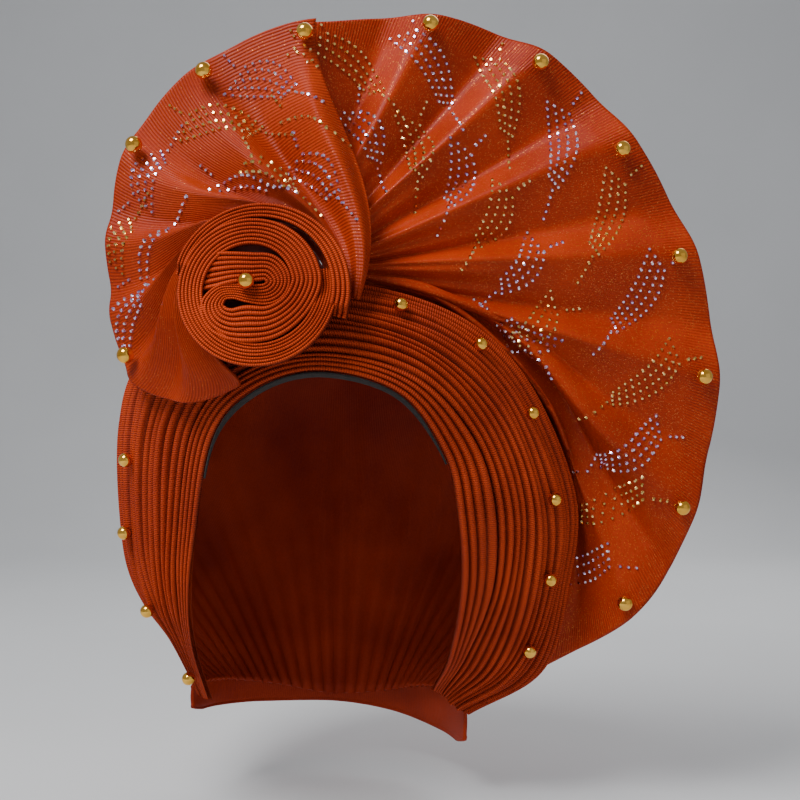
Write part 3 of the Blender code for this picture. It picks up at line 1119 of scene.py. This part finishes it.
@dataclass
class LeftFan(PleatedFan):
    """The smaller fan: its folds leave the rosette's right side, wind round it and open out.

    Each rim point is an angle in degrees and a radius about the rosette's centre, and a depth.
    """

    pleats: int = 7
    share: float = 0.28
    limit: float = 9.0
    centre: tuple[float, float] = (-29, -13)
    rim: Ends = ((258, 46, -90), (232, 67, -76), (210, 81, -56), (183, 81, -52), (157, 90, -50),
                 (132, 107, -51), (106, 124, -54), (80, 143, -58))
    start_angle: float = -10.0
    start_radius: tuple[float, float] = (34, 47)
    start_depth: float = -86.0
    start: float = 0.03
    lean: float = 0.72
    lean_back: float = 0.24
    cross_from: float = 0.857
    crease_share: float = 0.2
    wall: float = 1.4
    flat: tuple[float, float] = (0.13, 0.34)

    def leaning(self, depth: Array | float, z: Array) -> Array:
        """A depth on the rosette's plane, which leans back towards its top."""
        return depth + self.lean_back * (z - self.centre[1])

    def base(self, u: Array, v: Array) -> Array:
        """A swirl: the angle runs ahead with a flattening curve while the radius follows late.

        Args:
            u: Places round the fan, from 0 to 1.
            v: Places from the gather to the rim, from 0 to 1.

        Returns:
            Places in millimetres, with one more axis than u.
        """
        v = mix(self.start, 1.0, v)
        rim = spline(self.rim, u)
        turn = 1 - (1 - v) ** 2
        reach = v ** mix(3.0, 1.4, smoothstep((u - 0.7) / 0.3))
        angle = np.radians(mix(self.start_angle, rim[..., 0], turn))
        radius = mix(mix(self.start_radius[0], self.start_radius[1], u ** 3), rim[..., 1], reach)
        x = self.centre[0] + radius * np.cos(angle)
        z = self.centre[1] + radius * np.sin(angle)
        y = mix(self.leaning(self.start_depth, z), rim[..., 2], v ** 2)
        return np.stack([x, y, z], axis=-1) + HEAD_SEAT

    def place(self, u: Array, v: Array) -> Array:
        """Rounded folds, deepest halfway out, that flatten into the rim.

        Args:
            u: Places round the fan, from 0 to 1.
            v: Places from the gather to the rim, from 0 to 1.

        Returns:
            Places in millimetres, with one more axis than u.
        """
        depth = self.fold_depth(u, v)
        fold = soft_zigzag(self.pleats * u + 0.12 * np.sin(5 * v) - 0.1, self.lean, mix(0.05, 0.13, v))
        small = np.sin(2 * math.pi * (2.5 * self.pleats * u + 0.7 * v)) * (1 - smoothstep(v / 0.7))
        flat_rim = 1.25 - 0.95 * smoothstep((v - 0.5) / 0.48)
        rise = fold * depth * flat_rim + small * depth * self.crease_share
        return self.base(u, v) + self.normal(u, v) * rise[..., None]

    def build(self) -> None:
        """Make and place the piece; its ribs cross the folds on the panel that stands over the knot."""
        u, v = self.grid(301, 141)
        places = self.place(u, v)
        rim = lengths_along(self.base(u[:, -1:], v[:, -1:]), 0) * np.ones_like(u)
        out = lengths_along(places, 1)
        edge = out[:, -1:] - out
        plain, crossing = (corner_uv(along, edge).reshape(u.shape[0] - 1, -1, 4, 2) for along in (rim, out))
        panel = (u[:-1, :-1] > self.cross_from)[..., None, None]
        uv = np.where(panel, crossing, plain).reshape(-1, 2)
        self.lay("fan_swirl", places, uv, Finish.SWIRL, Slot.SATIN, "fan_left",
                 held="gathered", rests_on=["rosette_coil", "gather_knot"], area=0.018)


@dataclass
class Rosette(CordedCloth):
    """A strip of pleated cloth stood on edge, wound into an S and then round itself.

    Each point of the hooks is x, z and the strip's width. The turn after them is a formula.
    """

    cords: int = 7
    hooks: tuple = (
        (-62, -4.5, 21), (-51, -4, 19), (-39.5, -3, 15.5), (-31, -3, 14.5), (-24, -3, 13.5), (-20, -6, 12.5),
        (-18.5, -10, 11.5), (-20.5, -14, 11.5), (-25, -16, 10.5), (-32.5, -15.5, 9), (-39.5, -14.5, 7.5),
        (-45.5, -15.5, 8.5), (-49, -21, 11.5), (-46.5, -27, 13.5), (-40.5, -30, 15.5), (-32.5, -30, 18),
        (-23.5, -29.5, 16.5), (-16, -26, 15), (-9.5, -19.5, 14),
    )
    coil_centre: tuple[float, float] = (-29.5, -15.5)
    coil_angles: tuple[float, float] = (12.0, 381.0)
    coil_radius: tuple[float, float] = (24.4, 35.2)
    coil_swell: float = 3.4
    coil_width: tuple[float, float] = (14.2, 9.5)
    coil_steps: int = 23
    front: float = -101.0
    dome: float = 3.0
    tuck: float = 4.0
    depth: float = 8.0
    radius: float = 42.0
    height_share: float = 0.8
    fullness: float = 0.6
    unevenness: float = 0.35
    base_half: tuple[float, float, float] = (33.0, 2.2, 29.0)
    flat: tuple[float, float] = (0.026, 0.33)

    def __post_init__(self) -> None:
        """Keep the left fan, whose centre and lean the rosette shares, and work out the middle line."""
        self.fan = LeftFan()
        self.line = np.concatenate([np.array(self.hooks, dtype=float).reshape(-1, 3), self.coil()])

    def coil(self) -> Array:
        """The strip's outer turn: a spiral that swells by a sine on the left and draws in below it.

        Returns:
            Rows of x, z and the strip's width.
        """
        t = np.linspace(0, 1, self.coil_steps)
        radius = mix(*self.coil_radius, t) + self.coil_swell * np.sin(2 * math.pi * t)
        angle = np.radians(mix(*self.coil_angles, t))
        x, z = self.coil_centre
        width = mix(*self.coil_width, t)
        return np.stack([x + radius * np.cos(angle), z + radius * np.sin(angle), width], axis=-1)

    def base(self, u: Array, v: Array) -> Array:
        """Across the strip's middle line by its width, on the leaning plane, domed, both ends tucked in.

        Args:
            u: Places along it, from 0 to 1.
            v: Places across it, from 0 to 1.

        Returns:
            Places in millimetres, with one more axis than u.
        """
        line = spline(self.line, u)
        ahead = spline(self.line, np.minimum(u + 2e-3, 1)) - spline(self.line, np.maximum(u - 2e-3, 0))
        ahead = unit(ahead[..., :2])
        side = np.stack([-ahead[..., 1], ahead[..., 0]], axis=-1)
        flat = line[..., :2] + side * (line[..., 2] * (v - 0.5))[..., None]
        away = np.linalg.norm(flat - np.array(self.fan.centre), axis=-1) / self.radius
        tuck = self.tuck * (1 - smoothstep((u - 0.01) / 0.035) + smoothstep((u - 0.95) / 0.04))
        y = self.fan.leaning(self.front, flat[..., 1]) - self.dome * (1 - away ** 2) + tuck
        return np.stack([flat[..., 0], y, flat[..., 1]], axis=-1) + HEAD_SEAT

    def place(self, u: Array, v: Array) -> Array:
        """Round cords across the strip, each a share of its own width high, a little uneven.

        Args:
            u: Places along it, from 0 to 1.
            v: Places across it, from 0 to 1.

        Returns:
            Places in millimetres, with one more axis than u.
        """
        width = spline(self.line, u)[..., 2] / self.cords
        number = np.floor(self.cords * v - 1e-6)
        uneven = self.unevenness * np.sin(2.1 * number + 23 * u)
        rise = cord_profile(self.cords * v, self.fullness) * width * self.height_share
        rise = rise + uneven * np.sin(math.pi * v)
        lift = np.zeros(u.shape + (3,))
        lift[..., 1] = -rise
        return self.base(u, v) + lift

    def strip(self, name: str) -> bpy.types.Object:
        """Make and place the strip with its sides and its back.

        Args:
            name: The piece's name.

        Returns:
            The piece.
        """
        u, v = self.grid(760, self.cords * 8 + 1)
        front = self.place(u, v)
        back = self.base(u, v)[:, [-1, 0]] + np.array([0, self.depth, 0])
        rings = np.concatenate([front, back], axis=1)
        ends = (rings[0].mean(axis=0), rings[-1].mean(axis=0))
        mesh = tube_mesh(name, rings, ends, self.cord_uv(u, v, more=3))
        piece = add_piece(mesh, Finish.ROSETTE.material())
        place_piece(piece, Slot.RIBBED)
        return piece

    def build(self) -> None:
        """Make and place the coil, the roll round it, and the plain cloth that they are sewn to, coloured
        near-black as painted shade in the gaps between the loops.
        """
        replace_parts(self.strip("rosette"), "rosette_coil")
        RosetteRoll().strip("rosette_roll")
        x, z = self.fan.centre
        middle = np.array([x, self.fan.leaning(self.front, z) + self.depth - 1.5, z]) + HEAD_SEAT
        mesh = ball_mesh("rosette_base", middle, np.array(self.base_half), 64)
        # The backing disc takes the near-black finish: painted shade in the gaps between the loops.
        disc = add_piece(mesh, Finish.SHADE.material())
        place_piece(disc, Slot.RIBBED)


@dataclass
class RosetteRoll(Rosette):
    """The last loop of the strip, an arc that stands round the coil's top and right."""

    cords: int = 4
    hooks: tuple = ()
    coil_centre: tuple[float, float] = (-28.0, -13.0)
    coil_angles: tuple[float, float] = (170.0, -20.0)
    coil_radius: tuple[float, float] = (38.0, 38.5)
    coil_width: tuple[float, float] = (5.5, 9.5)
    coil_swell: float = 0.0
    coil_steps: int = 12
    front: float = -101.5
    dome: float = 0.0
    tuck: float = 5.0
    flat: tuple[float, float] = (0.018, 0.13)


@dataclass
class GatherKnot:
    """The bunch of pleats between the fans and the rosette."""

    start: tuple[float, float, float] = (8, -84, -8)
    end: tuple[float, float, float] = (5, -66, 4)
    half: tuple[float, float] = (5.89, 7.22)
    pleats: int = 11

    def build(self) -> None:
        """Make and place the piece: an oval of small pleats carried from front to back, ends closed."""
        round_once = np.linspace(0, 2 * math.pi, 176, endpoint=False)
        t, turn = np.meshgrid(np.linspace(0.002, 0.998, 30), round_once, indexing="ij")
        round_end = np.sqrt(np.clip(1 - (2 * t - 1) ** 8, 0, 1))
        swell = (1 + 0.09 * cord_profile(self.pleats * turn / (2 * math.pi) + 0.3 * t)) * round_end
        middle = mix(np.array(self.start, float), np.array(self.end, float), t[..., None]) + HEAD_SEAT
        oval = np.stack([np.cos(turn) * self.half[0], 0 * turn, -np.sin(turn) * self.half[1]], axis=-1)
        places = middle + oval * swell[..., None]
        ends = (places[0].mean(axis=0), places[-1].mean(axis=0))
        along = np.linspace(0, 0.02, (len(places) - 1) * places.shape[1] * 4)
        mesh = tube_mesh("knot", places, ends, np.stack([along, along], axis=-1))
        piece = add_piece(mesh, Finish.RIBBED.material())
        place_piece(piece, Slot.RIBBED, "gather_knot")


class Beads:
    """The round gold beads, one for each bead node."""

    def build(self) -> None:
        """Make a ball in each bead node's box, as wide as the box's widest side."""
        for name in sorted(name for name in frame["nodes"] if name.startswith("bead_")):
            low, high = (np.array(corner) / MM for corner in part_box(name))
            radius = float(np.max(high - low)) / 2
            mesh = ball_mesh(name.replace("bead", "gold"), (low + high) / 2, np.full(3, radius))
            place_piece(add_piece(mesh, Finish.GOLD.material()), Slot.GOLD, name)


@dataclass(frozen=True)
class Leaf:
    """A leaf of stones: curved rows that draw together at the tip, with a tail at each end."""

    x: float
    z: float
    heading: float
    silver: bool
    rows: int = 4
    stones: int = 12
    pitch: float = 3.6
    gap: float = 4.8
    bend: float = 4.0
    lead: int = 3
    tail: int = 5

    def plan(self) -> Array:
        """The stones' places as x and z, seen from the front.

        Along the leaf each row is straight and evenly spaced. Across it the rows are a gap apart,
        closing to a third at the tip by a sine, and the whole leaf bows sideways by a sine too.

        Returns:
            One row for each stone.
        """
        length = self.pitch * (self.stones - 1)
        q = np.linspace(0, 1, self.stones)[None, :]
        row = (np.arange(self.rows) - (self.rows - 1) / 2)[:, None]
        spread = 0.34 + 0.66 * np.sin(math.pi * (0.30 + 0.68 * q))
        along = (q - 0.5) * length + row * 1.6
        across = row * self.gap * spread + self.bend * np.sin(math.pi * q)
        body = np.stack([along.ravel(), across.ravel()], axis=-1)
        t = np.arange(1, self.tail + 1)
        tail = np.stack([length / 2 + self.pitch * (t + 0.2), -0.06 * self.bend * t ** 1.5], axis=-1)
        t = np.arange(1, self.lead + 1)
        lead = np.stack([-length / 2 - self.pitch * t * 0.8, self.gap * 1.2 + self.pitch * t * 0.5], axis=-1)
        flat = np.concatenate([body, tail, lead])
        c, s = math.cos(math.radians(self.heading)), math.sin(math.radians(self.heading))
        return flat @ np.array([[c, s], [-s, c]]) + np.array([self.x, self.z])


@dataclass
class StoneWork:
    """Leaves of small faceted stones glued to both fans, gold and silver.

    Each of the main fan's rows gives its start and step round the fan, how many leaves it has, how far
    out it lies, the leaves' slant, whether the first is silver, and the stones along a leaf. The left
    fan's leaves were placed one by one.
    """

    radius: float = 1.2
    height: float = 0.95
    sides: int = 6
    rows: tuple = ((0.050, 0.100, 10, 0.80, 46.0, False, 12), (0.110, 0.100, 7, 0.50, 60.0, True, 9))
    left: tuple[Leaf, ...] = (
        Leaf(-32, 94, -14, True, 5, 9), Leaf(-53, 73, -2, False, 4, 11), Leaf(-88, 47, 66, True, 4, 8),
        Leaf(-104, 14, 66, False, 4, 7), Leaf(-86, 8, 62, True, 2, 9), Leaf(-98, -25, 58, True, 4, 8),
        Leaf(-27, 45, -30, False, 3, 8), Leaf(-6, 46, -42, True, 4, 9), Leaf(-42, 41, -6, True, 2, 9),
        Leaf(-12, 108, -30, False, 2, 4), Leaf(-10, 72, -18, False, 1, 8),
    )

    def fan_leaves(self, fan: MainFan) -> list[Leaf]:
        """The main fan's leaves, in rows along its rim, each turned in from the rim by its row's slant.

        Args:
            fan: The main fan.

        Returns:
            The leaves.
        """
        made = []
        for start, step, count, v, slant, silver, stones in self.rows:
            for k in range(count):
                u = np.array([start + k * step])
                here = fan.base(u, np.array([v]))[0]
                ahead = (fan.base(u + 0.01, np.array([v])) - fan.base(u - 0.01, np.array([v])))[0]
                heading = math.degrees(math.atan2(ahead[2], ahead[0])) - slant
                made.append(Leaf(here[0], here[2], heading, bool(k % 2) != silver, 4, stones))
        return made

    @staticmethod
    def settle(fan: Surface, spots: Array) -> tuple[Array, Array]:
        """Find where on a fan stones lie that are seen at given places from the front.

        It starts from the nearest point of a coarse grid and closes in by Newton's method.

        Args:
            fan: The fan.
            spots: Rows of x and z.

        Returns:
            The stones' places, and the cloth's normals there; stones off the cloth are left out.
        """
        h = 1e-3
        gu, gv = np.meshgrid(np.linspace(0.01, 0.99, 80), np.linspace(0.2, 0.96, 40), indexing="ij")
        coarse = fan.base(gu, gv)[..., [0, 2]].reshape(-1, 2)
        nearest = np.argmin(np.sum((spots[:, None] - coarse[None]) ** 2, axis=-1), axis=1)
        u, v = gu.ravel()[nearest], gv.ravel()[nearest]
        for _ in range(8):
            miss = spots - fan.base(u, v)[:, [0, 2]]
            a = (fan.base(u + h, v) - fan.base(u - h, v))[:, [0, 2]] / (2 * h)
            b = (fan.base(u, v + h) - fan.base(u, v - h))[:, [0, 2]] / (2 * h)
            area = a[:, 0] * b[:, 1] - a[:, 1] * b[:, 0]
            area = np.where(np.abs(area) < 1, 1, area)
            step_u = (miss[:, 0] * b[:, 1] - miss[:, 1] * b[:, 0]) / area
            step_v = (a[:, 0] * miss[:, 1] - a[:, 1] * miss[:, 0]) / area
            u = np.clip(u + np.clip(step_u, -0.04, 0.04), 0.004, 0.996)
            v = np.clip(v + np.clip(step_v, -0.04, 0.04), 0.12, 0.985)
        near = (np.linalg.norm(spots - fan.base(u, v)[:, [0, 2]], axis=-1) < 0.8) & (v > 0.22)
        u, v = u[near], v[near]
        return fan.place(u, v), fan.normal(u, v, fan.place)

    def build(self) -> None:
        """Make both colours' stones from the leaves of both fans."""
        groups = ((MainFan(), self.fan_leaves(MainFan())), (LeftFan(), list(self.left)))
        for name, finish, silver in (("stones_gold", Finish.GOLD_STONE, False),
                                     ("stones_silver", Finish.SILVER_STONE, True)):
            plans = [(fan, [leaf.plan() for leaf in leaves if leaf.silver == silver])
                     for fan, leaves in groups]
            laid = [self.settle(fan, np.concatenate(plan)) for fan, plan in plans]
            mesh = self.stones(name, *(np.concatenate(parts) for parts in zip(*laid)))
            place_piece(add_piece(mesh, finish.material()), Slot.GOLD)

    def stones(self, name: str, spots: Array, normals: Array) -> bpy.types.Mesh:
        """One colour's stones in a single mesh.

        Each stone is a low six-sided dome: a ring sunk in the cloth, a smaller one above it that is
        tilted at random, closed by a point over it and a point under the cloth.

        Args:
            name: The mesh's name.
            spots: Where the stones sit.
            normals: Which way they face.

        Returns:
            The mesh, flat shaded.
        """
        count, s = len(spots), self.sides
        side = unit(np.cross(normals, np.array([0.31, 0.2, 0.93])))
        other = np.cross(normals, side)
        twist = np.arange(count)[:, None] * 2.4
        angle = np.arange(s)[None, :] * 2 * math.pi / s + twist
        ring = side[:, None] * np.cos(angle)[..., None] + other[:, None] * np.sin(angle)[..., None]
        tilt = 0.16 * (side * np.sin(twist * 3) + other * np.cos(twist * 5))
        table = unit(normals + tilt) * self.height
        low = spots[:, None] + ring * self.radius - normals[:, None] * 0.15
        high = spots[:, None] + ring * self.radius * 0.55 + table[:, None]
        under, over = (spots - normals * 0.3)[:, None], (spots + table)[:, None]
        places = np.concatenate([low, high, under, over], axis=1)
        k = np.arange(s)
        n = (k + 1) % s
        one = np.concatenate([np.stack([k, n, n + s], -1), np.stack([k, n + s, k + s], -1),
                              np.stack([k + s, n + s, np.full(s, 2 * s + 1)], -1),
                              np.stack([n, k, np.full(s, 2 * s)], -1)])
        faces = (one[None] + (np.arange(count) * (2 * s + 2))[:, None, None]).reshape(-1, 3)
        mesh = fill_mesh(name, places.reshape(-1, 3), faces)
        mesh.shade_flat()
        return mesh


# ---------------------------------------------------------------------------------------------
# Studio
# ---------------------------------------------------------------------------------------------

@dataclass
class Studio:
    """A pale sweep of floor and backdrop, soft lights and the camera."""

    floor_drop: float = 30.0
    camera_place: tuple[float, float, float] = (38.0, -620.0, -65.0)
    lens: float = 50.0
    lights: tuple = (("key", (-480, -620, 900), 0.5, 15.0), ("fill", (800, -900, 120), 1.2, 1.0),
                     ("back", (300, 900, 700), 1.0, 6.0))
    air: tuple[float, float, float, float] = (0.95, 0.96, 1.0, 1.0)
    air_strength: float = 0.34

    def build(self) -> None:
        """Make the sweep, the lights and the camera."""
        low, high = (np.array(corner) / MM for corner in CAD_BOX)
        centre = (low + high) / 2
        self.sweep(float(low[2]) - self.floor_drop)
        self.camera(HEAD_SEAT + np.array(self.camera_place))
        for name, place, size, power in self.lights:
            self.light(name, centre + np.array(place), centre, size, power)
        world = bpy.data.worlds.new("studio air")
        world.use_nodes = True
        background = world.node_tree.nodes["Background"].inputs
        background["Color"].default_value = self.air
        background["Strength"].default_value = self.air_strength
        bpy.context.scene.world = world

    def sweep(self, floor: float) -> None:
        """A floor that curves up into a backdrop: flat, then a quarter circle, then upright.

        Args:
            floor: The floor's height in millimetres.
        """
        across, t = np.meshgrid(np.linspace(-2600, 2600, 9), np.linspace(0, 1, 60), indexing="ij")
        run = t * 5200
        flat, bend = 3400.0, 600.0
        angle = np.clip((run - flat) / bend, 0, math.pi / 2)
        y = -2400 + np.minimum(run, flat) + bend * np.sin(angle)
        z = floor + bend * (1 - np.cos(angle)) + np.maximum(run - flat - bend * math.pi / 2, 0)
        places = np.stack([across, y, z], axis=-1)
        mesh = fill_mesh("floor_sweep", places.reshape(-1, 3), grid_faces(*across.shape))
        piece = add_piece(mesh, Finish.FLOOR.material())

    def camera(self, place: Array) -> None:
        """A level camera that looks along +Y.

        Args:
            place: Where the camera stands, in millimetres.
        """
        data = bpy.data.cameras.new("camera")
        data.lens = self.lens
        data.sensor_width = 36.0
        data.clip_start = 0.01
        made = bpy.data.objects.new("camera", data)
        made.location = Vector(place * MM)
        made.rotation_euler = (math.pi / 2, 0.0, 0.0)
        bpy.context.scene.collection.objects.link(made)
        bpy.context.scene.camera = made

    def light(self, name: str, place: Array, target: Array, size: float, power: float) -> None:
        """A square area light that faces the target.

        Args:
            name: The light's name.
            place: Where it stands, in millimetres.
            target: What it faces.
            size: Its side in metres.
            power: Its power in watts.
        """
        data = bpy.data.lights.new(name, "AREA")
        data.size = size
        data.energy = power
        made = bpy.data.objects.new(name, data)
        made.location = Vector(place * MM)
        made.rotation_euler = Vector((target - place) * MM).to_track_quat("-Z", "Y").to_euler()
        bpy.context.scene.collection.objects.link(made)


def write_sizes() -> None:
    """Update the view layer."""
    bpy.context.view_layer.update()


def main() -> None:
    """Build the head tie piece by piece, then the studio round it."""
    logging.basicConfig(level=logging.INFO, format="%(name)s: %(message)s")
    for part in (BrowBand(), LiningEdge(), PleatedBand(), Crown(), NapeStrap(), MainFan(), LeftFan(),
                 Rosette(), GatherKnot(), Beads(), StoneWork(), Studio()):
        part.build()
    write_sizes()


if __name__ == "__main__":
    main()
